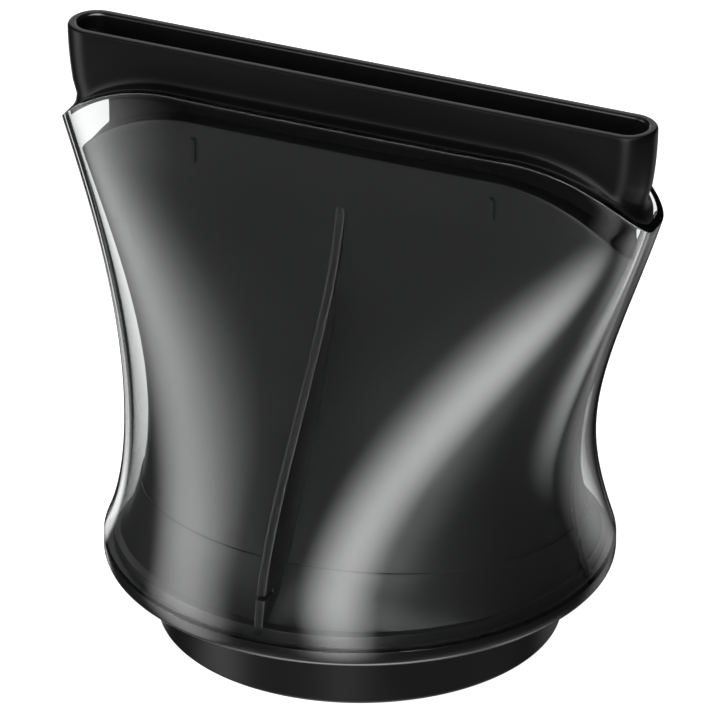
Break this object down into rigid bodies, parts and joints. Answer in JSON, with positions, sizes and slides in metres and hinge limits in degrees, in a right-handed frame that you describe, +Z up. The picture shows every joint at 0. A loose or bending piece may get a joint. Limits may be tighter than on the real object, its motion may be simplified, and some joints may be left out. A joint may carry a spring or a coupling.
{
  "type": "hair dryer concentrator nozzle",
  "caption": "Concentrator nozzle: a black duct that narrows from a round collar to a flat slot, inside a clear waisted shell held on a flange and thin fins.",
  "frame": {"origin": "centre of the collar's lower rim, which the nozzle stands on", "axes": "+Z up along the air path to the outlet slot, +X along the slot"},
  "size_m": [0.078, 0.0632, 0.0733],
  "materials": {
    "black_plastic": "satin black moulded plastic",
    "clear_plastic": "clear polished plastic"
  },
  "bodies": {
    "root": {"air_duct": "black_plastic", "clear_shell": "clear_plastic"}
  },
  "joints": []
}
